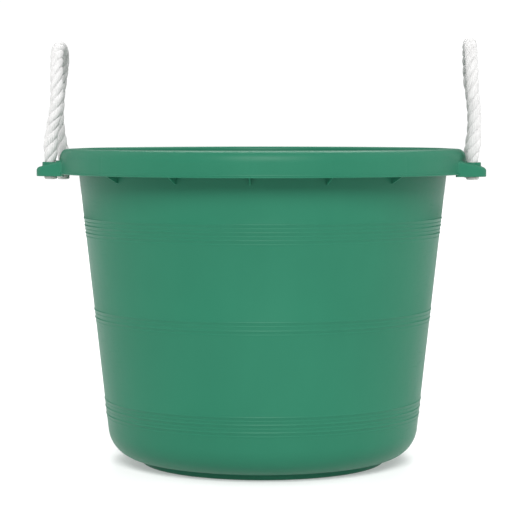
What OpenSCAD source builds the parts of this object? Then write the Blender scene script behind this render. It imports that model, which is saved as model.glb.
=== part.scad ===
// Feed bucket: a one-piece tapered tub with a turned-down rim, two carrying lugs and two rope loop handles.
// Frame: millimetres, +Z up, +X through the right lug, origin on the floor at the tub's centre.

/* [Tub] */
// Height from the floor to the crest of the rim
tub_h = 353; // [300:1:400]
// Outer radius of the wall, carried down its slope to the floor
wall_r0 = 170; // [150:1:190]
// Widening of the wall for each millimetre of height
wall_slope = 0.11; // [0.08:0.005:0.13]
// Thickness of the moulded wall
wall_t = 3.2; // [2.4:0.1:4]
// Outer radius of the curve between the wall and the base
base_round = 35; // [25:1:45]

/* [Foot] */
// Step down from the base to the foot that stands on the floor
foot_h = 6.9; // [4:0.1:9]
// Rounding of the foot's outer edge
foot_round = 5; // [3.5:0.5:6]
// Radius of the raised disc in the middle of the base
raised_r = 108; // [90:1:120]
// How far the raised disc stands off the floor
raised_h = 3; // [2:0.5:4]

/* [Rim] */
// Outer radius of the skirt that hangs from the rim
rim_r = 227.4; // [226:0.1:229]
// Height of the skirt's lower edge above the floor, at the standard tub height
skirt_z = 325.2; // [323:0.1:328]
// Thickness of the rim and its skirt
rim_t = 3; // [2.4:0.1:3.6]
// How far inwards the rim's rounded corner reaches
corner_w = 8.3; // [7:0.1:9]
// How far down the rim's rounded corner reaches
corner_h = 12.2; // [9:0.1:13]
// Fall of the rim's top for each millimetre outwards
rim_fall = 0.05; // [0.02:0.01:0.1]
// How far the skirt's lower edge flares out
lip_out = 1.4; // [0.9:0.1:1.6]
// Thickness of the webs under the rim
web_t = 1.8; // [1.2:0.1:3]
// How far the webs reach down the wall below the skirt
web_drop = 7.5; // [4:0.5:12]

/* [Beads] */
// Width of a moulded bead line on the wall
bead_w = 2.2; // [1.5:0.1:3]
// How far a bead stands off the wall
bead_h = 0.7; // [0.4:0.1:1]

/* [Lugs] */
// Distance from the tub's axis to a lug's outer edge
lug_x = 247.7; // [246:0.1:250]
// Half of a lug's width where it meets the rim
lug_root_half = 70; // [68:1:74]
// Half of a lug's width at its outer edge
lug_tip_half = 58; // [56:1:64]
// Height of a lug's underside
lug_z = 322.8; // [321:0.1:323.5]
// Height of a lug's top where it meets the rim
lug_top_z = 337; // [336:0.1:337.5]
// Thickness of a lug's shell
lug_t = 2.8; // [2.2:0.1:3.4]
// Rounding of a lug's plan corners
lug_corner = 12; // [10:1:15]

/* [Rope] */
// Diameter of the rope
rope_d = 12.7; // [10:0.1:13]
// Diameter of a rope hole
hole_d = 13.2; // [13.1:0.1:14]
// Distance from the tub's axis to the line of a lug's rope holes
hole_x = 233; // [232.5:0.1:234]
// Half of the distance between a lug's two rope holes
hole_y = 44; // [40:1:48]
// Outer diameter of the boss around a rope hole
boss_d = 18.4; // [17.5:0.1:19]
// Height of a boss's flat top
boss_z = 338.4; // [338:0.1:339]
// Diameter of the fused end of a rope
fused_d = 15.2; // [14.5:0.1:16.5]
// Thickness of the fused end of a rope
fused_t = 3.6; // [2.5:0.1:5]
// Thickness of the left rope's rear end, which was melted longer than the others
long_fused_t = 6; // [3.6:0.1:7]

/* [Hidden] */

green = [0.22, 0.53, 0.42];
white = [0.93, 0.93, 0.92];
round_fn = 144;

// Rope: the hinge line stands a rope radius and a small gap above the boss.
rope_r = rope_d / 2;
swing_gap = 1.75;
swing_z = boss_z + rope_r + swing_gap;
leg_gap = 0.5;
rope_sides = 12;

// Wall: the length of its slope for each millimetre of height, and its angle from vertical.
wall_long = sqrt(1 + wall_slope * wall_slope);
wall_angle = atan(wall_slope);

// Centre of the curve between wall and base, which the inside and the outside share.
bend_z = foot_h + base_round;
bend_r = wall_r0 + wall_slope * bend_z - base_round * wall_long;
foot_r = bend_r - 1;

// Crest: a small round where the inside of the wall turns into the rim's top.
crest_round = 3.7;
crest_z = tub_h - crest_round;
crest_r = inner_r(crest_z) + crest_round * wall_long;
fall_angle = atan(rim_fall);

// Corner of the rim: a quarter of an oval, which the top's slope and the skirt's outside both touch.
corner_r = rim_r - corner_w;
corner_z = crest_z + crest_round / cos(fall_angle) - rim_fall * (corner_r - crest_r)
    - norm([corner_h, rim_fall * corner_w]);

// Lip: a small round at the skirt's lower edge, with a cove above it that turns into the skirt.
lip_r = 0.8;
cove_r = 2.4;
cove_turn = acos((cove_r - lip_out + lip_r) / (cove_r + lip_r));
lip_top_z = skirt_z + lip_r + (cove_r + lip_r) * sin(cove_turn);

// Where the rim's underside meets the wall, and the bevel between them.
join_r = outer_r(tub_h);
join_z = under_z(join_r);
join_bevel = 1.5;

// Bead groups: height of the lowest bead, number of beads and the distance between them.
bead_groups = [[56.8, 3, 8.25], [165.1, 2, 9], [259.7, 3, 8.25]];
faint_drop = 4.1;
faint_share = 0.5;

// Lug: its inner end is buried in the rim, and its top falls by lug_fall for each millimetre outwards.
lug_root_x = 212;
lug_fall = 0.22;
lug_tilt = atan(lug_fall);
lug_edge = 3.4;
lug_taper = atan((lug_root_half - lug_tip_half) / (lug_x - rim_r * cos(18)));
corner_x = lug_x - lug_corner;
corner_y = lug_tip_half + lug_corner * tan(lug_taper) - lug_corner / cos(lug_taper);

// Webs: angles from the middle of a lug, between the lugs and inside them.
web_angles = [for (a = [45 : 22.5 : 135]) for (side = [0, 180]) a + side];
lug_web_angles = [for (a = [-17, -7.5, 7.5, 17]) for (side = [0, 180]) a + side];

// Routes of the two loops, from the front hole's hinge point to the rear hole's.
left_route = [
    [-233, -44, 346.5], [-232, -44, 360], [-229, -44, 378], [-226.5, -44.5, 396],
    [-225.5, -44.5, 412], [-225.5, -43, 428], [-226, -37.5, 444], [-227, -27, 457],
    [-228.5, -14, 464.5], [-229.5, 0, 467], [-230.5, 14, 464.5], [-232, 27, 457],
    [-233.5, 37.5, 444], [-234.5, 43, 428], [-235.5, 44.5, 412], [-236.5, 44.5, 396],
    [-236.5, 44, 378], [-235.5, 44, 360], [-233, 44, 346.5],
];
right_route = [
    [233, -44, 346.5], [234.5, -44, 360], [235, -44, 378], [234.5, -44.5, 396],
    [233, -44.5, 414], [232, -43, 431], [231.5, -37.5, 447], [231, -27, 460],
    [230.5, -14, 467.5], [230.5, 0, 470], [230.5, 14, 467.5], [230.5, 27, 460],
    [231, 37.5, 447], [232, 43, 431], [234.5, 44.5, 414], [236.5, 44.5, 396],
    [237, 44, 378], [236, 44, 360], [233, 44, 346.5],
];

function outer_r(z) = wall_r0 + wall_slope * z;
function inner_r(z) = outer_r(z) - wall_t * wall_long;

// Points along an arc about (r, z), from angle a0 to angle a1.
function arc(r, z, radius, a0, a1, steps) = oval(r, z, radius, radius, a0, a1, steps);

// The same along an oval that reaches w across and h up from its middle.
function oval(r, z, w, h, a0, a1, steps) =
    [for (i = [0 : steps]) let (a = a0 + (a1 - a0) * i / steps) [r + w * cos(a), z + h * sin(a)]];

// One rounded bead on the wall, from its lower edge to its upper edge.
function bead(z, w, h) =
    [for (i = [-2 : 2]) let (at = z + i * w / 4) [outer_r(at) + h * (1 - i * i / 4), at]];

// Every bead up the wall, each with a fainter one below it.
function beads() = [
    for (g = bead_groups) for (i = [0 : g[1] - 1]) for (faint = [1, 0])
        let (share = faint == 1 ? faint_share : 1)
        each bead(g[0] + i * g[2] - faint * faint_drop, bead_w * (faint == 1 ? 0.75 : 1), bead_h * share)
];

// Under the base, from the tub's axis out to the foot's outer edge.
function under_base() = concat(
    [[0, raised_h], [raised_r, raised_h], [raised_r + 4, 0]],
    arc(foot_r - foot_round, foot_round, foot_round, -90, 0, 6),
    [[foot_r, foot_h]]
);

// Outside of the wall, from the base curve up to the small bevel under the rim.
function outside_wall() = concat(
    arc(bend_r, bend_z, base_round, -90, -wall_angle, 12),
    beads(),
    [[outer_r(join_z - join_bevel), join_z - join_bevel]]
);

// Height of the rim's underside at radius r, on its slope.
function under_z(r) = crest_z + (crest_round - rim_t) / cos(fall_angle) - rim_fall * (r - crest_r);

// Rim: underside, skirt, flared lip, outer corner, top and crest.
function rim() = concat(
    [[join_r + join_bevel, under_z(join_r + join_bevel)]],
    oval(corner_r, corner_z, corner_w - rim_t, corner_h - rim_t, 88, 0, 6),
    arc(rim_r - rim_t + lip_r, skirt_z + lip_r, lip_r, 180, 270, 3),
    arc(rim_r + lip_out - lip_r, skirt_z + lip_r, lip_r, 270, 360 + cove_turn, 6),
    arc(rim_r + cove_r, lip_top_z, cove_r, 180 + cove_turn - 10, 180, 4),
    oval(corner_r, corner_z, corner_w, corner_h, 0, 88, 10),
    arc(crest_r, crest_z, crest_round, 90 - fall_angle, 180 - wall_angle, 8)
);

// Inside of the tub, from the wall down to the tub's axis.
function inside() = concat(
    arc(bend_r, bend_z, base_round - wall_t, -wall_angle, -90, 12),
    [[foot_r - wall_t, foot_h + wall_t]],
    arc(foot_r - foot_round, foot_round, foot_round - wall_t, 0, -90, 4),
    [[raised_r + 4, wall_t], [raised_r, raised_h + wall_t], [0, raised_h + wall_t]]
);

// Plan of a lug, drawn in by inset on every side but the rim's.
module lug_plan(inset) {
    rounding = lug_corner - inset;
    side_y = corner_y + rounding * cos(lug_taper)
        + (corner_x + rounding * sin(lug_taper) - lug_root_x) * tan(lug_taper);
    half = concat(arc(corner_x, corner_y, rounding, 0, 90 - lug_taper, 8), [[lug_root_x, side_y]]);
    polygon(concat(half, [for (i = [len(half) - 1 : -1 : 0]) [half[i][0], -half[i][1]]]));
}

// Side view of a lug, drawn in by inset: a sloping top with a rounded outer edge.
module lug_side(inset) {
    edge_x = lug_x - lug_edge;
    edge_z = lug_top_z - lug_fall * (edge_x - rim_r) - lug_edge / cos(lug_tilt);
    root_z = lug_top_z + lug_fall * (rim_r - lug_root_x) - inset / cos(lug_tilt);
    polygon(concat(
        [[lug_root_x, lug_z - 1], [lug_x - inset, lug_z - 1]],
        arc(edge_x, edge_z, lug_edge - inset, 0, 90 - lug_tilt, 6),
        [[lug_root_x, root_z]]
    ));
}

module lug_block(inset) {
    intersection() {
        translate([0, 0, inset > 0 ? lug_z - 2 : lug_z]) linear_extrude(30) lug_plan(inset);
        rotate([90, 0, 0]) linear_extrude(200, center = true) lug_side(inset);
    }
}

// A hollow lug, open underneath, with a sleeve round each rope hole.
module lug() {
    difference() {
        union() {
            difference() {
                lug_block(0);
                lug_block(lug_t);
                cylinder(h = 400, r = rim_r - rim_t / 2, $fn = round_fn);
            }
            for (y = [-hole_y, hole_y])
                translate([hole_x, y, lug_z]) cylinder(h = boss_z - lug_z, d = boss_d, $fn = 64);
        }
        for (y = [-hole_y, hole_y])
            translate([hole_x, y, lug_z - 5]) cylinder(h = 40, d = hole_d, $fn = 64);
    }
}

// A web between the rim's skirt and the wall, standing on a line out from the tub's axis.
// Its lower edge meets the wall at a given drop below the skirt.
module web(drop) {
    low = skirt_z - drop;
    // Its upper edges are buried in the middle of the rim's thickness, so that no gap is left.
    buried = rim_t / 2;
    rotate([90, 0, 0]) linear_extrude(web_t, center = true) polygon(concat(
        [[outer_r(low) - 0.8, low], [rim_r - buried, skirt_z + 1.5]],
        oval(corner_r, corner_z, corner_w - buried, corner_h - buried, 0, 90, 4),
        [[join_r - 1, join_z + 1]]
    ));
}

// The whole moulding: tub, rim, foot, beads, webs and lugs are one piece of plastic.
module tub() {
    color(green) union() {
        rotate_extrude($fn = round_fn) polygon(concat(under_base(), outside_wall(), rim(), inside()));
        for (a = web_angles) rotate(a) web(web_drop);
        for (a = lug_web_angles) rotate(a) web(0);
        for (a = [0, 180]) rotate(a) lug();
    }
}

// Direction of a route at point i.
function heading(route, i) =
    let (a = route[max(i - 1, 0)], b = route[min(i + 1, len(route) - 1)]) (b - a) / norm(b - a);

// A round tube along a route, whose two ends are half balls centred on its first and last points.
module rope_tube(route) {
    last = len(route) - 1;
    cap = [85, 60, 30];
    // Each ring is its centre, its radius and its direction.
    rings = concat(
        [for (a = cap) let (d = heading(route, 0)) [route[0] - d * rope_r * sin(a), rope_r * cos(a), d]],
        [for (i = [0 : last]) [route[i], rope_r, heading(route, i)]],
        [for (k = [2 : -1 : 0]) let (d = heading(route, last))
            [route[last] + d * rope_r * sin(cap[k]), rope_r * cos(cap[k]), d]]
    );
    // The rope lies near a plane across X, so X squared off against the heading never vanishes.
    points = [
        for (ring = rings) let (d = ring[2], u = cross(d, [1, 0, 0]), v = u / norm(u), w = cross(d, v))
            for (s = [0 : rope_sides - 1]) let (a = 360 * s / rope_sides)
                ring[0] + ring[1] * (v * cos(a) + w * sin(a))
    ];
    count = len(rings);
    sides = [
        for (i = [0 : count - 2]) for (s = [0 : rope_sides - 1])
            let (t = (s + 1) % rope_sides, a = i * rope_sides, b = a + rope_sides)
            each [[a + s, b + t, a + t], [a + s, b + s, b + t]]
    ];
    ends = [
        [for (s = [0 : rope_sides - 1]) s],
        [for (s = [rope_sides - 1 : -1 : 0]) (count - 1) * rope_sides + s],
    ];
    polyhedron(points, concat(sides, ends), convexity = 6);
}

module left_rope_handle() {
    color(white) rope_tube(left_route);
}

module right_rope_handle() {
    color(white) rope_tube(right_route);
}

// The straight length of rope inside a boss, which ends just under the loop's half ball.
module rope_leg(x, y) {
    top = swing_z - rope_r - leg_gap;
    color(white) translate([x, y, lug_z]) cylinder(h = top - lug_z, d = rope_d, $fn = 64);
}

// The melted end, of thickness t, that stops the rope from pulling up through its hole.
module fused_end(x, y, t) {
    color(white) translate([x, y, lug_z]) rotate([180, 0, 0]) rotate_extrude($fn = 64)
        polygon(concat(
            [[0, 0], [fused_d / 2, 0]],
            arc(fused_d / 2 - 1.2, t - 1.2, 1.2, 0, 90, 4),
            [[0, t]]
        ));
}

tub();
left_rope_handle();
right_rope_handle();
rope_leg(-hole_x, -hole_y);  // rope_leg_left_front
rope_leg(-hole_x, hole_y);  // rope_leg_left_rear
rope_leg(hole_x, -hole_y);  // rope_leg_right_front
rope_leg(hole_x, hole_y);  // rope_leg_right_rear
fused_end(-hole_x, -hole_y, fused_t);  // fused_end_left_front
fused_end(-hole_x, hole_y, long_fused_t);  // fused_end_left_rear
fused_end(hole_x, -hole_y, fused_t);  // fused_end_right_front
fused_end(hole_x, hole_y, fused_t);  // fused_end_right_rear
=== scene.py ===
import math

import bmesh
import bpy
import numpy as np
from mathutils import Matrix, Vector
from mathutils.noise import noise


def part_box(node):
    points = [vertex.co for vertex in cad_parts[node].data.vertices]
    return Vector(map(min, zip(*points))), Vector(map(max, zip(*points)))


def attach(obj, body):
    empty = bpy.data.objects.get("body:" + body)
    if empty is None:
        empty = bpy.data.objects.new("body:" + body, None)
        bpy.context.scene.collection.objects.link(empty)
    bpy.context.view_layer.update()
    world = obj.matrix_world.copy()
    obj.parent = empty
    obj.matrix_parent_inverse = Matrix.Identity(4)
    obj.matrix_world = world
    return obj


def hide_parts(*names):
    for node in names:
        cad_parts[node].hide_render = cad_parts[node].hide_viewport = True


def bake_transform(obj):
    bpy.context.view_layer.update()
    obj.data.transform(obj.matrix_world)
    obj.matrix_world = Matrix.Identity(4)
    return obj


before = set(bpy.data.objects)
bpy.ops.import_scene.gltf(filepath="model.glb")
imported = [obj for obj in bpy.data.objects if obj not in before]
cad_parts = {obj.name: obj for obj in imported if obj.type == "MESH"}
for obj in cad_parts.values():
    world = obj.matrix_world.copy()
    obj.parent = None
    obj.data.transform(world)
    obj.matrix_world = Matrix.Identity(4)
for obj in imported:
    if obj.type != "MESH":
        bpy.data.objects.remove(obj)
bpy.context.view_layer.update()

MM = 0.001
SMOOTH_ANGLE = math.radians(38)

# ---------------------------------------------------------------- sizes, in millimetres
# They repeat part.scad's driving dimensions, and what can be read from the frame is read from it.
# The beads' shape, the lip and the rounding of the lugs' edges are a little finer here.
tub_low, tub_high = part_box("tub")
TUB_H = tub_high.z / MM
LUG_X = tub_high.x / MM
RIM_R = 227.4

WALL_R0, WALL_SLOPE, WALL_T = 170.0, 0.11, 3.2
BASE_ROUND = 35.0
FOOT_H, FOOT_ROUND = 6.9, 5.0
# The base's raised middle, how far out its slope reaches, and the mark that the mould's gate leaves.
RAISED_R, RAISED_H, RAISED_SLOPE = 108.0, 3.0, 4.0
GATE_R, GATE_DEPTH = 5.0, 1.1

SKIRT_Z, RIM_T, CORNER_W, CORNER_H = 325.2, 3.0, 8.3, 12.2
RIM_FALL, CREST_ROUND = 0.05, 3.7
LIP_OUT, LIP_R, COVE_R = 1.8, 0.8, 2.0
WEB_T, WEB_DROP = 1.8, 7.5
SINK_DEPTH, SINK_WIDE = 0.16, 1.3

# Each group of beads is the height of its lowest, how many there are, and the height between them.
BEAD_GROUPS = ((56.8, 3, 8.25), (165.1, 2, 9.0), (259.7, 3, 8.25))
# A bead's shape: the distance up from its middle, and the share of its height.
BEAD_SHAPE = ((-3.0, 0), (-2.2, 0.14), (-1.4, 0.4), (-0.6, 0.74), (-0.1, 0.94), (0.15, 1), (0.4, 0.86),
              (0.7, 0.5), (1.0, 0.14), (1.25, 0))
BEAD_H = 0.65
# The fainter line below each bead: how far below, and its length and height as shares of the bead's.
FAINT_DROP, FAINT_LONG, FAINT_SHARE = 4.1, 0.8, 0.4

LUG_ROOT_HALF, LUG_TIP_HALF, LUG_CORNER, LUG_T = 70.0, 58.0, 12.0, 2.8
LUG_Z, LUG_TOP_Z, LUG_FALL = 322.8, 337.0, 0.22
LUG_EDGE, SIDE_EDGE, TIP_LONG = 3.4, 2.3, 12.0
ROOT_FILLET, TOP_FILLET = 8.0, 2.2
HOLE_X, HOLE_Y, HOLE_R = 233.0, 44.0, 6.6
BOSS_R, BOSS_Z = 9.2, 338.4

FUSED_R, FUSED_T, LONG_FUSED_T = 7.6, 3.6, 6.0
# A full turn, in radians.
TAU = 2 * math.pi

# The loops' routes, from the front hole to the rear one. They keep within 3 mm of part.scad's.
LEFT_ROUTE = [
    (-233, -44, 346.5), (-233, -44, 360), (-230.2, -44, 378), (-226.8, -44.5, 396),
    (-225.6, -44.5, 412), (-226, -43, 428), (-226.8, -37.5, 443.5), (-228, -27, 456.5),
    (-229, -14, 464), (-228.8, 0, 466.5), (-228.8, 14, 464), (-229.8, 27, 456.5),
    (-232.5, 37.5, 443.5), (-235.5, 43, 428), (-237.8, 44.5, 412), (-238.8, 44.5, 396),
    (-238.3, 44, 378), (-236.3, 44, 360), (-233, 44, 346.5),
]
RIGHT_ROUTE = [
    (233, -44, 346.5), (234.5, -44, 360), (235, -44, 378), (234.5, -44.5, 396),
    (233, -44.5, 414), (232, -43, 431), (231.5, -37.5, 447), (231, -27, 460),
    (230.5, -14, 467.5), (230.5, 0, 470), (230.5, 14, 467.5), (230.5, 27, 460),
    (231, 37.5, 447), (232, 43, 431), (234.5, 44.5, 414), (236.5, 44.5, 396),
    (237, 44, 378), (236, 44, 360), (233, 44, 346.5),
]

# ---------------------------------------------------------------- camera
CAMERA_AWAY, CAMERA_UP, CAMERA_TURN, CAMERA_PITCH = 2.311, 0.3793, 3.6, 3.79
CAMERA_LENS, CAMERA_SHIFT = 141.7, -0.0034


def add_camera():
    data = bpy.data.cameras.new("camera")
    data.lens = CAMERA_LENS
    data.sensor_width = 36
    data.shift_x = CAMERA_SHIFT
    camera = bpy.data.objects.new("camera", data)
    bpy.context.scene.collection.objects.link(camera)
    turn = math.radians(CAMERA_TURN)
    camera.location = (CAMERA_AWAY * math.sin(turn), -CAMERA_AWAY * math.cos(turn), CAMERA_UP)
    camera.rotation_euler = (math.radians(90 - CAMERA_PITCH), 0, turn)
    bpy.context.scene.camera = camera


add_camera()


# ---------------------------------------------------------------- materials
FLOOR_GLOW = 0.32


class Nodes:
    """A material's node tree, with short calls for the nodes that the materials share."""

    def __init__(self, name):
        self.material = bpy.data.materials.new(name)
        self.material.use_nodes = True
        self.tree = self.material.node_tree
        self.shader = self.tree.nodes["Principled BSDF"]

    def add(self, kind, **settings):
        node = self.tree.nodes.new(kind)
        for key, value in settings.items():
            setattr(node, key, value)
        return node

    def link(self, a, b):
        self.tree.links.new(a, b)

    def coords(self, scale, source="Object"):
        """The object's own coordinates in metres, stretched by scale."""
        place = self.add("ShaderNodeMapping")
        place.inputs["Scale"].default_value = scale
        self.link(self.add("ShaderNodeTexCoord").outputs[source], place.inputs["Vector"])
        return place.outputs["Vector"]

    def noise(self, vector, scale, detail=3.0, rough=0.5):
        node = self.add("ShaderNodeTexNoise")
        node.inputs["Scale"].default_value = scale
        node.inputs["Detail"].default_value = detail
        node.inputs["Roughness"].default_value = rough
        self.link(vector, node.inputs["Vector"])
        return node.outputs["Fac"]

    def ramp(self, value, stops):
        """A colour ramp through stops of (place, colour)."""
        node = self.add("ShaderNodeValToRGB")
        elements = node.color_ramp.elements
        while len(elements) < len(stops):
            elements.new(0.5)
        for element, (place, colour) in zip(elements, stops):
            element.position = place
            element.color = (*colour, 1)
        self.link(value, node.inputs["Fac"])
        return node.outputs["Color"]

    def range(self, value, low, high, to_low, to_high):
        node = self.add("ShaderNodeMapRange")
        for key, number in (("From Min", low), ("From Max", high), ("To Min", to_low), ("To Max", to_high)):
            node.inputs[key].default_value = number
        self.link(value, node.inputs["Value"])
        return node.outputs["Result"]

    def math(self, operation, a, b):
        node = self.add("ShaderNodeMath", operation=operation)
        for socket, value in zip(node.inputs, (a, b)):
            if isinstance(value, (int, float)):
                socket.default_value = value
            else:
                self.link(value, socket)
        return node.outputs["Value"]

    def mix(self, share, a, b, blend="MIX"):
        """Colour a with colour b over it, by share."""
        node = self.add("ShaderNodeMix", data_type="RGBA", blend_type=blend)
        for socket, value in ((node.inputs[0], share), (node.inputs[6], a), (node.inputs[7], b)):
            if isinstance(value, (int, float)):
                socket.default_value = value
            elif isinstance(value, tuple):
                socket.default_value = (*value, 1)
            else:
                self.link(value, socket)
        return node.outputs[2]

    def bump(self, layers):
        """Stacks bumps from layers of (height, depth in metres), and gives them to the shader."""
        normal = None
        for height, depth in layers:
            node = self.add("ShaderNodeBump")
            node.inputs["Distance"].default_value = depth
            self.link(height, node.inputs["Height"])
            if normal is not None:
                self.link(normal, node.inputs["Normal"])
            normal = node.outputs["Normal"]
        self.link(normal, self.shader.inputs["Normal"])


def tub_plastic():
    """Satin green polyethylene: faint mottling, slow flow marks, a fine grain and light scuffs."""
    n = Nodes("tub_plastic")
    place = n.coords((1, 1, 1))
    clouds = n.noise(place, 9, 4)
    grain = n.noise(place, 1500, 2)
    flow = n.noise(n.coords((14, 14, 2.2)), 1, 4, 0.6)
    colour = n.ramp(clouds, [(0.3, (0.0180, 0.135, 0.079)), (0.7, (0.0200, 0.145, 0.085))])
    colour = n.mix(n.range(flow, 0.45, 0.8, 0, 0.25), colour, (0.024, 0.162, 0.096))
    colour = n.mix(n.range(grain, 0.4, 0.75, 0, 0.12), colour, (0.0135, 0.104, 0.060))
    n.link(colour, n.shader.inputs["Base Color"])
    scuffs = n.noise(n.coords((60, 60, 420)), 1, 5, 0.7)
    rough = n.math("ADD", n.range(flow, 0.3, 0.8, 0.36, 0.46), n.range(scuffs, 0.55, 0.8, 0, 0.12))
    n.link(rough, n.shader.inputs["Roughness"])
    n.shader.inputs["IOR"].default_value = 1.5
    n.shader.inputs["Specular IOR Level"].default_value = 0.11
    n.bump([(clouds, 0.0012), (grain, 0.00002), (scuffs, 0.00002)])
    return n.material


def rope_fibre():
    """White polypropylene yarn: fine filaments along each yarn, and painted shade, a little grey, in the
    hollows between them.
    """
    n = Nodes("rope_fibre")
    around_along = n.coords((1, 1, 1), "UV")
    split = n.add("ShaderNodeSeparateXYZ")
    n.link(around_along, split.inputs["Vector"])
    stretched = n.add("ShaderNodeMapping")
    stretched.inputs["Scale"].default_value = (80, 9, 1)
    n.link(around_along, stretched.inputs["Vector"])
    filaments = n.noise(stretched.outputs["Vector"], 1, 3, 0.6)
    patches = n.noise(n.coords((1, 1, 1)), 140, 3)
    colour = n.ramp(patches, [(0.3, (0.54, 0.537, 0.533)), (0.7, (0.62, 0.617, 0.613))])
    # Painted shade: grey mixed in where the filaments' bump height is low, in the hollows between them.
    colour = n.mix(n.range(filaments, 0.30, 0.58, 0.55, 0), colour, (0.38, 0.378, 0.375))
    n.link(colour, n.shader.inputs["Base Color"])
    n.link(n.range(filaments, 0.3, 0.7, 0.55, 0.40), n.shader.inputs["Roughness"])
    n.shader.inputs["Subsurface Weight"].default_value = 0.12
    n.shader.inputs["Subsurface Radius"].default_value = (0.0025, 0.0025, 0.0025)
    n.shader.inputs["IOR"].default_value = 1.49
    n.bump([(filaments, 0.0002), (patches, 0.0001)])
    return n.material


def melted_rope():
    """Rope end melted into one clouded, slightly lumpy plug. Its grey, darker than the rope's, is partly the
    melted plastic's own tone and partly painted shade.
    """
    n = Nodes("melted_rope")
    place = n.coords((1, 1, 1))
    clouds = n.noise(place, 260, 4, 0.6)
    # Partly the melted plastic's own clouded tone, partly painted shade: the plug's grey is darker than the
    # rope's.
    colour = n.ramp(clouds, [(0.3, (0.40, 0.41, 0.385)), (0.7, (0.52, 0.525, 0.50))])
    n.link(colour, n.shader.inputs["Base Color"])
    n.link(n.range(clouds, 0.3, 0.7, 0.28, 0.5), n.shader.inputs["Roughness"])
    n.shader.inputs["Subsurface Weight"].default_value = 0.2
    n.shader.inputs["Subsurface Radius"].default_value = (0.003, 0.003, 0.003)
    n.bump([(clouds, 0.0006)])
    return n.material


def stage_white():
    n = Nodes("stage_white")
    grain = n.noise(n.coords((1, 1, 1)), 40, 3)
    n.link(n.ramp(grain, [(0, (0.65, 0.65, 0.65)), (1, (0.67, 0.67, 0.67))]), n.shader.inputs["Base Color"])
    n.shader.inputs["Roughness"].default_value = 0.9
    n.shader.inputs["Specular IOR Level"].default_value = 0.0
    n.shader.inputs["Emission Color"].default_value = (1, 1, 1, 1)
    n.shader.inputs["Emission Strength"].default_value = FLOOR_GLOW
    return n.material


TUB_PLASTIC = tub_plastic()
ROPE_FIBRE = rope_fibre()
MELTED_ROPE = melted_rope()


# ---------------------------------------------------------------- mesh tools
def make_piece(name, vertices, faces, material, uvs=None, angle=SMOOTH_ANGLE):
    """A mesh object from vertices in millimetres. uvs, if given, has one (u, v) for each face corner."""
    mesh = bpy.data.meshes.new(name)
    mesh.from_pydata([tuple(v) for v in np.asarray(vertices, float) * MM], [], faces)
    mesh.validate()
    if uvs is not None:
        layer = mesh.uv_layers.new(name="yarn")
        layer.data.foreach_set("uv", np.asarray(uvs, np.float32).ravel())
    mesh.materials.append(material)
    mesh.shade_smooth()
    mesh.set_sharp_from_angle(angle=angle)
    piece = bpy.data.objects.new(name, mesh)
    bpy.context.scene.collection.objects.link(piece)
    return piece


def oval(x, y, wide, high, start, end, steps):
    """Points on an oval about (x, y), between two angles in degrees."""
    angles = np.radians(np.linspace(start, end, steps + 1))
    return [(x + wide * math.cos(a), y + high * math.sin(a)) for a in angles]


def arc(x, y, radius, start, end, steps):
    return oval(x, y, radius, radius, start, end, steps)


def rounded(points, radius, steps=4):
    """An open outline whose inner corners are rounded off with short curves of about that radius."""
    out = [points[0]]
    for before, corner, after in zip(points, points[1:], points[2:]):
        b, c, a = (np.array(p, float) for p in (before, corner, after))
        reach = min(radius, 0.45 * np.linalg.norm(b - c), 0.45 * np.linalg.norm(a - c))
        start = c + (b - c) / np.linalg.norm(b - c) * reach
        end = c + (a - c) / np.linalg.norm(a - c) * reach
        for t in np.linspace(0, 1, steps + 1):
            out.append(tuple((1 - t) ** 2 * start + 2 * t * (1 - t) * c + t ** 2 * end))
    return out + [points[-1]]


def lathe(profile, angles, shape=None):
    """Vertices and faces of a profile of (r, z) turned round Z. Where r is 0 it closes to a point.
    shape, if given, maps arrays of r, z and angle to a new r."""
    vertices, rows = [], []
    for r, z in profile:
        if r < 1e-6:
            rows.append([len(vertices)])
            vertices.append((0, 0, z))
            continue
        turned = r if shape is None else shape(r, z, angles)
        first = len(vertices)
        vertices += list(zip(turned * np.cos(angles), turned * np.sin(angles), np.full(len(angles), z)))
        rows.append(list(range(first, first + len(angles))))
    return vertices, skin(rows, True)


def skin(rows, round_rows):
    """Faces between neighbouring rows of vertex numbers. A row of one vertex is a point."""
    faces = []
    for low, high in zip(rows, rows[1:]):
        count = max(len(low), len(high))
        for i in range(count if round_rows else count - 1):
            j = (i + 1) % count
            corners = [low[i % len(low)], low[j % len(low)], high[j % len(high)], high[i % len(high)]]
            face = list(dict.fromkeys(corners))
            if len(face) > 2:
                faces.append(face)
    return faces


def joined(parts):
    """One vertex list and face list from several."""
    vertices, faces = [], []
    for some_vertices, some_faces in parts:
        first = len(vertices)
        vertices += [tuple(v) for v in some_vertices]
        faces += [[first + i for i in face] for face in some_faces]
    return vertices, faces


# ---------------------------------------------------------------- tub
WALL_LONG = math.hypot(1, WALL_SLOPE)
WALL_ANGLE = math.degrees(math.atan(WALL_SLOPE))
FALL_ANGLE = math.degrees(math.atan(RIM_FALL))


def outer_r(z):
    return WALL_R0 + WALL_SLOPE * z


def inner_r(z):
    return outer_r(z) - WALL_T * WALL_LONG


BEND_Z = FOOT_H + BASE_ROUND
BEND_R = outer_r(BEND_Z) - BASE_ROUND * WALL_LONG
FOOT_R = BEND_R - 1
CREST_Z = TUB_H - CREST_ROUND
CREST_R = inner_r(CREST_Z) + CREST_ROUND * WALL_LONG
COS_FALL = math.cos(math.radians(FALL_ANGLE))
CORNER_R = RIM_R - CORNER_W
CORNER_Z = (CREST_Z + CREST_ROUND / COS_FALL - RIM_FALL * (CORNER_R - CREST_R)
            - math.hypot(CORNER_H, RIM_FALL * CORNER_W))
COVE_TURN = math.acos((COVE_R - LIP_OUT + LIP_R) / (COVE_R + LIP_R))
LIP_TOP_Z = SKIRT_Z + LIP_R + (COVE_R + LIP_R) * math.sin(COVE_TURN)

WEB_ANGLES = [a + side for a in (45, 67.5, 90, 112.5, 135) for side in (0, 180)]
LUG_WEB_ANGLES = [a + side for a in (-17, -7.5, 7.5, 17) for side in (0, 180)]


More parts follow.
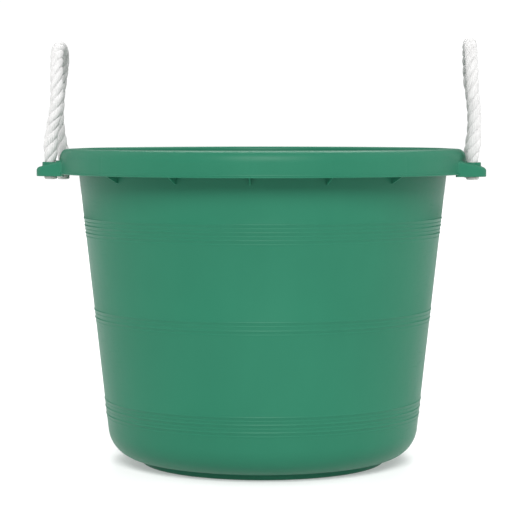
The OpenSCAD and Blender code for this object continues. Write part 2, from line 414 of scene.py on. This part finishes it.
def under_z(r):
    """Height of the rim's underside at radius r."""
    return CREST_Z + (CREST_ROUND - RIM_T) / COS_FALL - RIM_FALL * (r - CREST_R)


def bead(z, long, height):
    """Points over one bead on the wall: a gentle rise from below, and a short, steep upper side."""
    return [(outer_r(z + up * long) + height * share, z + up * long) for up, share in BEAD_SHAPE]


def beads():
    points = []
    for low, count, pitch in BEAD_GROUPS:
        for i in range(count):
            z = low + i * pitch
            points += bead(z - FAINT_DROP, FAINT_LONG, BEAD_H * FAINT_SHARE)
            points += bead(z, 1.0, BEAD_H)
    return points


def tub_profile():
    """The moulding's cross-section, from under the middle of the base, up the outside and down the inside."""
    gate_z = RAISED_H - GATE_DEPTH
    gate = [(0, gate_z), (GATE_R, gate_z), (GATE_R + 1.2, RAISED_H), (60, RAISED_H), (RAISED_R, RAISED_H)]
    ring = [(RAISED_R + RAISED_SLOPE, 0), (FOOT_R - FOOT_ROUND - 4, 0), (FOOT_R - FOOT_ROUND, 0)]
    under = rounded(gate + ring, 1.2)
    foot = arc(FOOT_R - FOOT_ROUND, FOOT_ROUND, FOOT_ROUND, -80, 0, 8) + [(FOOT_R, FOOT_H - 0.5)]
    bend = arc(BEND_R, BEND_Z, BASE_ROUND, -89, -WALL_ANGLE, 20)
    join_r = outer_r(TUB_H)
    join_z = under_z(join_r)
    wall = beads() + [(outer_r(300), 300)]
    below = rounded(
        [(outer_r(join_z - 8), join_z - 8), (join_r - 0.5, join_z), (join_r + 8, under_z(join_r + 8))], 2.5)
    corner_in = oval(CORNER_R, CORNER_Z, CORNER_W - RIM_T, CORNER_H - RIM_T, 88, 0, 8)
    skirt_in = [(RIM_R - RIM_T, SKIRT_Z + 8)]
    turn = math.degrees(COVE_TURN)
    lip = (arc(RIM_R - RIM_T + LIP_R, SKIRT_Z + LIP_R, LIP_R, 180, 270, 4)
           + arc(RIM_R + LIP_OUT - LIP_R, SKIRT_Z + LIP_R, LIP_R, 270, 360 + turn, 8))
    cove = arc(RIM_R + COVE_R, LIP_TOP_Z, COVE_R, 180 + turn - 8, 180, 6)
    skirt_out = cove + [(RIM_R, SKIRT_Z + 9)]
    corner = oval(CORNER_R, CORNER_Z, CORNER_W, CORNER_H, 0, 88, 18)
    crest = arc(CREST_R, CREST_Z, CREST_ROUND, 90 - FALL_ANGLE, 180 - WALL_ANGLE, 12)
    inside = [(inner_r(z), z) for z in (320, 260, 200, 140, 80)]
    bend_in = arc(BEND_R, BEND_Z, BASE_ROUND - WALL_T, -WALL_ANGLE, -90, 16)
    floor_z = RAISED_H + WALL_T
    step_r, step_z = FOOT_R - WALL_T, FOOT_H + WALL_T
    step = rounded([(BEND_R - 1, step_z), (step_r, step_z), (step_r, WALL_T),
                    (RAISED_R + RAISED_SLOPE, WALL_T), (RAISED_R, floor_z), (60, floor_z)], 1.6)
    middle = [(6, floor_z), (0, floor_z)]
    return (under + foot + bend + wall + below + corner_in + skirt_in + lip + skirt_out
            + corner + crest + inside + bend_in + step + middle)


def tub_columns():
    """Angles of the tub's mesh columns: even all round, and closer where a web's sink mark shows."""
    even = np.arange(0, 360, 1.25)
    close = [a + d for a in WEB_ANGLES for d in np.arange(-0.9, 0.95, 0.3)]
    every = np.unique(np.round(np.mod(np.concatenate([even, close]), 360), 4))
    return np.radians(every)


def with_sink_marks(r, z, angles):
    """Draws the rim's outside in by a hair where a web stands behind it."""
    if r < RIM_R - 1 or z < SKIRT_Z + 2:
        return np.full(len(angles), float(r))
    across = np.full(len(angles), 1e9)
    for a in WEB_ANGLES:
        turn = np.abs(np.mod(angles - math.radians(a) + math.pi, TAU) - math.pi)
        across = np.minimum(across, turn * RIM_R)
    return r - SINK_DEPTH * np.exp(-(across / SINK_WIDE) ** 2)


def web(angle, drop):
    """A thin rib that stiffens the rim, with a rounded lower edge. Its other edges are buried."""
    low = SKIRT_Z - drop
    buried = RIM_T / 2
    edge = [(outer_r(low) - 1.2, low - 0.3), (outer_r(low) + 1.5, low), (RIM_R - RIM_T / 2, SKIRT_Z + 2.5)]
    outline = rounded(edge, 2, 3) + oval(CORNER_R, CORNER_Z, CORNER_W - buried, CORNER_H - buried, 0, 90, 4)
    outline += [(outer_r(TUB_H) - 1.2, under_z(outer_r(TUB_H)) + 1)]
    layers = ((-0.5, 0.45), (-0.42, 0.12), (-0.25, 0), (0.25, 0), (0.42, 0.12), (0.5, 0.45))
    vertices, rows = [], []
    turn = math.radians(angle)
    for side, lift in layers:
        first = len(vertices)
        y = side * WEB_T
        for r, z in outline:
            turned_x = r * math.cos(turn) - y * math.sin(turn)
            turned_y = r * math.sin(turn) + y * math.cos(turn)
            vertices.append((turned_x, turned_y, z + lift))
        rows.append(list(range(first, len(vertices))))
    faces = skin(rows, True) + [rows[0][::-1], rows[-1]]
    return vertices, faces


# ---------------------------------------------------------------- lugs
TAPER = math.atan((LUG_ROOT_HALF - LUG_TIP_HALF) / (LUG_X - RIM_R * math.cos(math.radians(18))))
LUG_CX = LUG_X - LUG_CORNER
LUG_CY = LUG_TIP_HALF + LUG_CORNER * math.tan(TAPER) - LUG_CORNER / math.cos(TAPER)
# The lugs' root edges end at this radius, within the rim's thickness.
BURIED_R = RIM_R - 1.4


def lug_top(x):
    """Height of a lug's sloping top at distance x from the tub's axis."""
    return LUG_TOP_Z - LUG_FALL * (x - RIM_R)


def lug_outline(inset):
    """Half of a lug's plan, from the middle of its outer edge round to the rim, drawn in by inset."""
    normal = np.array([math.sin(TAPER), math.cos(TAPER)])
    along = np.array([math.cos(TAPER), -math.sin(TAPER)])
    side = np.array([LUG_CX, LUG_CY]) @ normal + LUG_CORNER + ROOT_FILLET
    fillet = side * normal + math.sqrt((RIM_R + ROOT_FILLET) ** 2 - side ** 2) * along
    turned_in = math.degrees(math.atan2(-fillet[1], -fillet[0]))
    from_side = math.degrees(math.atan2(-normal[1], -normal[0]))
    edge = [(LUG_X - inset, y) for y in np.linspace(0, LUG_CY, 24)]
    corner = arc(LUG_CX, LUG_CY, LUG_CORNER - inset, 0, 90 - math.degrees(TAPER), 14)[1:]
    root = arc(*fillet, ROOT_FILLET + inset, from_side, turned_in, 8)
    points = np.array(edge + corner + root)
    radius = np.linalg.norm(points, axis=1)
    return points * (np.maximum(radius, BURIED_R) / radius)[:, None]


def mirrored(half):
    """A whole outline from its half with positive y."""
    other = half[:0:-1].copy()
    other[:, 1] *= -1
    return np.vstack([other, half])


def lug_shell():
    """The hollow lug at +X, open underneath: outside wall, rounded edge, sloping top, and the same inside."""
    rows = []

    def row(outline, height):
        rows.append([(x, y, z) for (x, y), z in zip(outline, height)])

    plan = mirrored(lug_outline(0))
    tip = np.clip((plan[:, 0] - (LUG_X - TIP_LONG)) / TIP_LONG, 0, 1)
    edge_r = SIDE_EDGE + (LUG_EDGE - SIDE_EDGE) * tip ** 2 * (3 - 2 * tip)
    row(mirrored(lug_outline(0.7)), np.full(len(plan), LUG_Z))
    row(mirrored(lug_outline(0.2)), np.full(len(plan), LUG_Z + 0.2))
    row(plan, np.full(len(plan), LUG_Z + 0.7))
    row(plan, np.full(len(plan), LUG_Z + 4))
    deepest, levels = 5.0, 25
    insets = np.array([mirrored(lug_outline(depth)) for depth in np.linspace(0, deepest, levels + 1)])

    def inset_plan(depth):
        """The outline drawn in by a different depth at each point."""
        at = depth / deepest * levels
        low = np.clip(np.floor(at).astype(int), 0, levels - 1)
        share = (at - low)[:, None]
        pick = np.arange(len(plan))
        return insets[low, pick] * (1 - share) + insets[low + 1, pick] * share

    for turn in np.radians(np.linspace(0, 90, 8)):
        drawn = inset_plan(edge_r * (1 - math.cos(turn)))
        row(drawn, lug_top(drawn[:, 0]) - edge_r * (1 - math.sin(turn)))
    # The top runs from the rounded edge to the rim, and rises into it with a fillet.
    inner_start = inset_plan(edge_r)
    for t in (0.15, 0.3, 0.45, 0.6, 0.72, 0.82, 0.88, 0.92, 0.95, 0.975, 1.0):
        end_x = np.sqrt(BURIED_R ** 2 - inner_start[:, 1] ** 2)
        x = inner_start[:, 0] * (1 - t) + np.minimum(end_x, inner_start[:, 0]) * t
        y = inner_start[:, 1]
        gap = np.clip(np.hypot(x, y) - RIM_R, 0, TOP_FILLET)
        rise = TOP_FILLET - np.sqrt(TOP_FILLET ** 2 - (TOP_FILLET - gap) ** 2)
        row(np.column_stack([x, y]), lug_top(x) + rise)
    inside = mirrored(lug_outline(LUG_T))
    for t in np.linspace(1, 0, 6):
        end_x = np.sqrt(BURIED_R ** 2 - inside[:, 1] ** 2)
        x = inside[:, 0] * (1 - t) + np.minimum(end_x, inside[:, 0]) * t
        row(np.column_stack([x, inside[:, 1]]), lug_top(x) - LUG_T)
    row(inside, np.full(len(plan), LUG_Z + 4))
    row(inside, np.full(len(plan), LUG_Z + 0.5))
    row(mirrored(lug_outline(LUG_T - 0.5)), np.full(len(plan), LUG_Z))
    count = len(plan)
    vertices = [v for r in rows for v in r]
    numbers = [list(range(i * count, (i + 1) * count)) for i in range(len(rows))]
    faces = skin(numbers + [numbers[0]], False)
    faces += [[r[0] for r in numbers], [r[-1] for r in numbers][::-1]]
    return vertices, faces


def boss(y):
    """The raised boss and sleeve round a rope hole, flaring a little where it meets the lug's top."""
    angles = np.radians(np.arange(0, 360, 5))
    top = BOSS_Z
    rows = []

    def ring(r, z):
        """A ring at one height, or at heights that a function gives from x."""
        xs, ys = HOLE_X + r * np.cos(angles), y + r * np.sin(angles)
        heights = np.full(len(angles), float(z)) if not callable(z) else z(xs)
        rows.append(list(zip(xs, ys, heights)))

    ring(HOLE_R, LUG_Z + 0.5)
    ring(HOLE_R + 0.5, LUG_Z)
    ring(BOSS_R - 0.5, LUG_Z)
    ring(BOSS_R, LUG_Z + 0.5)
    ring(BOSS_R, lambda x: lug_top(x) - 2)
    ring(BOSS_R + 1.0, lambda x: np.minimum(lug_top(x) - 0.1, top - 0.9))
    ring(BOSS_R + 0.4, lambda x: np.minimum(lug_top(x) + 0.15, top - 0.8))
    ring(BOSS_R + 0.1, lambda x: np.minimum(lug_top(x) + 0.5, top - 0.7))
    ring(BOSS_R, lambda x: np.minimum(lug_top(x) + 1.1, top - 0.6))
    ring(BOSS_R - 0.08, top - 0.3)
    ring(BOSS_R - 0.25, top - 0.1)
    ring(BOSS_R - 0.55, top)
    ring(HOLE_R + 0.8, top)
    ring(HOLE_R + 0.3, top - 0.15)
    ring(HOLE_R + 0.05, top - 0.5)
    ring(HOLE_R, top - 1)
    count = len(angles)
    numbers = [list(range(i * count, (i + 1) * count)) for i in range(len(rows))]
    return [v for r in rows for v in r], skin(numbers + [numbers[0]], True)


def cut_holes(shell):
    """Removes the lug's faces inside the bosses, whose sleeves hide the cut's edges."""
    vertices, faces = shell
    points = np.array(vertices)
    reach = (HOLE_R + BOSS_R) / 2
    kept = []
    for face in faces:
        middle = points[face].mean(0)
        in_boss = math.hypot(middle[0] - HOLE_X, abs(middle[1]) - HOLE_Y) < reach
        if not in_boss:
            kept.append(face)
    return vertices, kept


def turned(part, half_turn):
    vertices, faces = part
    sign = -1 if half_turn else 1
    return [(sign * x, sign * y, z) for x, y, z in vertices], faces


def build_tub():
    body = lathe(tub_profile(), tub_columns(), with_sink_marks)
    parts = [body] + [web(a, WEB_DROP) for a in WEB_ANGLES] + [web(a, 0) for a in LUG_WEB_ANGLES]
    lug = joined([cut_holes(lug_shell()), boss(-HOLE_Y), boss(HOLE_Y)])
    parts += [turned(lug, False), turned(lug, True)]
    vertices, faces = joined(parts)
    piece = make_piece("tub_moulding", vertices, faces, TUB_PLASTIC)
    mesh = bmesh.new()
    mesh.from_mesh(piece.data)
    bmesh.ops.recalc_face_normals(mesh, faces=mesh.faces)
    mesh.to_mesh(piece.data)
    mesh.free()
    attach(piece, "tub_body")
    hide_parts("tub")
    return piece


# ---------------------------------------------------------------- rope
ROPE_LAY = 39.0
STRANDS = 3
STRAND_OUT = 3.15
STRAND_R, STRAND_WIDE = 3.0, 3.85
# How much fuller the rope is above its holes, and how much more at a bulge just over them.
LOOSE, BULGE, BULGE_Z, BULGE_LONG = 0.17, 0.12, 359.0, 11.0
OPENS_BELOW, OPENS_IN = 3.4, 14.0
YARNS, YARN_STEPS, YARN_LAY, YARN_DEPTH = 10, 6, 17.0, 0.3
RING_STEP = 1.1


def smooth_route(points, step):
    """Evenly spaced points on a smooth curve through the route's own points."""
    p = np.array(points, float)
    ends = np.vstack([2 * p[0] - p[1], p, 2 * p[-1] - p[-2]])
    dense = []
    for a, b, c, d in zip(ends, ends[1:], ends[2:], ends[3:]):
        for t in np.linspace(0, 1, 40, endpoint=False):
            dense.append(0.5 * (2 * b + (c - a) * t + (2 * a - 5 * b + 4 * c - d) * t ** 2
                                + (3 * b - a - 3 * c + d) * t ** 3))
    dense = np.array(dense + [p[-1]])
    run = np.concatenate([[0], np.cumsum(np.linalg.norm(np.diff(dense, axis=0), axis=1))])
    even = np.linspace(0, run[-1], int(round(run[-1] / step)) + 1)
    return np.column_stack([np.interp(even, run, dense[:, k]) for k in range(3)]), even


def carried_frames(centre):
    """A direction, and two directions square to it that turn as little as they can, at each point."""
    ahead = np.gradient(centre, axis=0)
    ahead /= np.linalg.norm(ahead, axis=1)[:, None]
    side = np.zeros_like(ahead)
    side[0] = (1, 0, 0)
    for i in range(1, len(ahead)):
        s = side[i - 1] - (side[i - 1] @ ahead[i]) * ahead[i]
        side[i] = s / np.linalg.norm(s)
    return ahead, side, np.cross(ahead, side)


def slow_noise(run, seed, length):
    """A gentle wander between about -1 and 1 along the rope."""
    return np.array([2 * noise(Vector((s / length, seed, 0.5))) for s in run])


def opened(centre):
    """The rope's fullness at each point: 1 in the holes, and greatest just above them."""
    rise = np.clip((centre[:, 2] - BOSS_Z + OPENS_BELOW) / OPENS_IN, 0, 1)
    bulge = BULGE * np.exp(-((centre[:, 2] - BULGE_Z) / BULGE_LONG) ** 2)
    return 1 + (LOOSE + bulge) * rise ** 2 * (3 - 2 * rise)


def strand(centre, run, frames, index, seed):
    """One strand of the rope: its rows of vertices, whose columns follow the strand's yarns."""
    ahead, side, up = frames
    full = opened(centre)
    wander = slow_noise(run, seed + index * 7.3, 30)
    phase = TAU * (index / STRANDS + run / ROPE_LAY) + 0.10 * slow_noise(run, seed + 50, 45)
    out = side * np.cos(phase)[:, None] + up * np.sin(phase)[:, None]
    line = centre + out * (STRAND_OUT * full + 0.12 * wander)[:, None]
    along = np.gradient(line, axis=0)
    along /= np.linalg.norm(along, axis=1)[:, None]
    across = np.cross(along, out)
    across /= np.linalg.norm(across, axis=1)[:, None]
    outward = np.cross(across, along)
    count = YARNS * YARN_STEPS
    own = TAU * np.arange(count) / count
    lobe = np.abs(np.cos(own * YARNS / 2)) ** 1.4
    r = 1 - YARN_DEPTH / STRAND_R * (1 - lobe)
    rows = []
    for i in range(len(run)):
        theta = own - TAU * run[i] / YARN_LAY
        swell = full[i] * (1 + 0.04 * wander[i])
        x = STRAND_R * swell * r * np.cos(theta)
        y = STRAND_WIDE * swell * r * np.sin(theta)
        rows.append(line[i] + outward[i] * x[:, None] + across[i] * y[:, None])
    return np.array(rows)


def rope_part(rows, run):
    """Vertices, faces and face-corner coordinates of one strand, closed at both ends."""
    rings, count = rows.shape[:2]
    vertices = [tuple(v) for v in rows.reshape(-1, 3)]
    faces, uvs = [], []
    for i in range(rings - 1):
        low, high = run[i] / ROPE_LAY, run[i + 1] / ROPE_LAY
        for s in range(count):
            t = (s + 1) % count
            faces.append([i * count + s, i * count + t, (i + 1) * count + t, (i + 1) * count + s])
            u0, u1 = s / count, (s + 1) / count
            uvs += [(u0, low), (u1, low), (u1, high), (u0, high)]
    for ring in (0, rings - 1):
        face = [ring * count + s for s in range(count)]
        faces.append(face if ring else face[::-1])
        uvs += [(0, 0)] * count
    return vertices, faces, uvs


def build_rope(name, route, seed):
    """A three-strand rope from one melted end, up through its hole, round the loop and down to the other."""
    leg_heights = [LUG_Z - FUSED_T * 0.4, 328, 337]
    front = [(route[0][0], route[0][1], z) for z in leg_heights]
    rear = [(route[-1][0], route[-1][1], z) for z in leg_heights[::-1]]
    centre, run = smooth_route(front + route + rear, RING_STEP)
    frames = carried_frames(centre)
    vertices, faces, uvs = [], [], []
    for index in range(STRANDS):
        v, f, u = rope_part(strand(centre, run, frames, index, seed), run)
        first = len(vertices)
        vertices += v
        faces += [[first + i for i in face] for face in f]
        uvs += u
    piece = make_piece(name, vertices, faces, ROPE_FIBRE, uvs, math.radians(80))
    side = "left" if route[0][0] < 0 else "right"
    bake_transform(piece)
    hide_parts(side + "_rope_handle", f"rope_leg_{side}_front", f"rope_leg_{side}_rear")
    return piece


LUMPS = 0.05


def build_fused_end(side, end, seed):
    """The rope's melted end under the lug: a flat plug with an uneven edge. The left rear one is longer."""
    deep = LONG_FUSED_T if (side, end) == ("left", "rear") else FUSED_T
    x = HOLE_X if side == "right" else -HOLE_X
    y = HOLE_Y if end == "rear" else -HOLE_Y
    angles = np.radians(np.arange(0, 360, 6))
    profile = [(0, 0.3), (FUSED_R - 1.6, 0.3), (FUSED_R - 0.5, 0.15), (FUSED_R - 0.1, -0.5), (FUSED_R, -1.3),
               (FUSED_R - 0.2, 1.4 - deep), (FUSED_R - 0.8, 0.6 - deep), (FUSED_R - 1.8, 0.15 - deep),
               (FUSED_R - 3.2, -deep), (FUSED_R - 5.2, 0.1 - deep), (0, 0.25 - deep)]

    def uneven(r, z, turn):
        lumps = np.array([noise(Vector((math.cos(a) * 1.1, math.sin(a) * 1.1, seed + z * 0.2))) for a in turn])
        return r * (1 + LUMPS * lumps) - LUMPS * r

    vertices, faces = lathe(profile, angles, uneven)
    vertices = [(x + vx, y + vy, min(LUG_Z - 0.02, LUG_Z - 0.25 + vz) if vz > 0 else LUG_Z + vz)
                for vx, vy, vz in vertices]
    piece = make_piece(f"melted_end_{side}_{end}", vertices, faces, MELTED_ROPE)
    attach(piece, "tub_body")
    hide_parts(f"fused_end_{side}_{end}")
    return piece


for side, route, seed in (("left", LEFT_ROUTE, 3.1), ("right", RIGHT_ROUTE, 11.7)):
    ends = [build_fused_end(side, end, seed + k * 4.9) for k, end in enumerate(("front", "rear"))]
    build_rope(f"{side}_rope", route, seed)

build_tub()


# ---------------------------------------------------------------- stage and light
def add_floor():
    floor = make_piece("floor", [(-9000, -9000, 0), (9000, -9000, 0), (9000, 9000, 0), (-9000, 9000, 0)],
                       [[0, 1, 2, 3]], stage_white())


def add_sun(name, strength, spread, from_point):
    data = bpy.data.lights.new(name, "SUN")
    data.energy = strength
    data.angle = math.radians(spread)
    light = bpy.data.objects.new(name, data)
    light.location = from_point
    light.rotation_euler = Vector(from_point).to_track_quat("Z", "Y").to_euler()
    bpy.context.scene.collection.objects.link(light)


def add_world(light_strength, seen_strength):
    """White surroundings that light the scene evenly, and brighter where the camera sees them directly."""
    world = bpy.data.worlds.new("studio")
    world.use_nodes = True
    tree = world.node_tree
    lit = tree.nodes["Background"]
    lit.inputs["Color"].default_value = (1, 1, 1, 1)
    lit.inputs["Strength"].default_value = light_strength
    seen = tree.nodes.new("ShaderNodeBackground")
    seen.inputs["Color"].default_value = (1, 1, 1, 1)
    seen.inputs["Strength"].default_value = seen_strength
    mix = tree.nodes.new("ShaderNodeMixShader")
    tree.links.new(tree.nodes.new("ShaderNodeLightPath").outputs["Is Camera Ray"], mix.inputs["Fac"])
    tree.links.new(lit.outputs["Background"], mix.inputs[1])
    tree.links.new(seen.outputs["Background"], mix.inputs[2])
    tree.links.new(mix.outputs["Shader"], tree.nodes["World Output"].inputs["Surface"])
    bpy.context.scene.world = world


add_floor()
add_sun("key", strength=3.45, spread=28, from_point=(0.3, -4.0, 2.9))
add_sun("left", strength=1.5, spread=80, from_point=(-4.0, 0.2, 1.8))
add_sun("right", strength=1.6, spread=80, from_point=(4.0, 0.2, 1.8))
add_sun("back", strength=1.8, spread=36, from_point=(0.0, 3.0, 3.6))
add_world(light_strength=0.16, seen_strength=1.05)
bpy.context.scene.view_settings.view_transform = "Standard"
